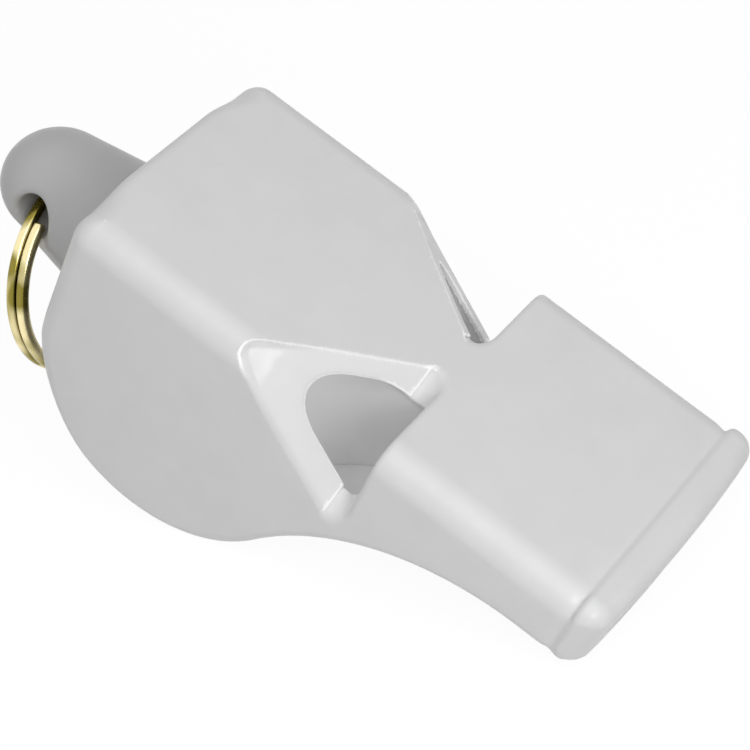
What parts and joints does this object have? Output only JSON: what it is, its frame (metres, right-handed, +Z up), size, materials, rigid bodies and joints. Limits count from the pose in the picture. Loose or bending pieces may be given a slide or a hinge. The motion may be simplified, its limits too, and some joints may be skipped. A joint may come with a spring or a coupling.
{
  "type": "training whistle",
  "caption": "Moulded three-chamber whistle without a ball, with open side windows, a flat bite mouthpiece and a split ring swinging in a rear cord lug.",
  "frame": {"origin": "on the table under the middle of the whistle's box, as it lies at rest on its belly and the tip of its mouthpiece", "axes": "+X from the cord lug towards the mouthpiece, +Y across the whistle, +Z up; the flat top slopes down towards +X"},
  "size_m": [0.0538, 0.0222, 0.0241],
  "materials": {
    "shell_plastic": "satin moulded",
    "cover_plastic": "satin moulded",
    "insert_plastic": "satin moulded",
    "ring_metal": "bright plated"
  },
  "bodies": {
    "whistle": {"body_shell": "shell_plastic", "belly_cover": "cover_plastic", "airway_insert": "insert_plastic"},
    "ring": {"split_ring": "ring_metal"}
  },
  "joints": [
    {"name": "ring_swing", "type": "hinge", "parent": "whistle", "child": "ring", "pos_m": [-0.02215, 0, 0.01829], "axis": [0, 1, 0], "range_deg": [-18, 232]}
  ]
}
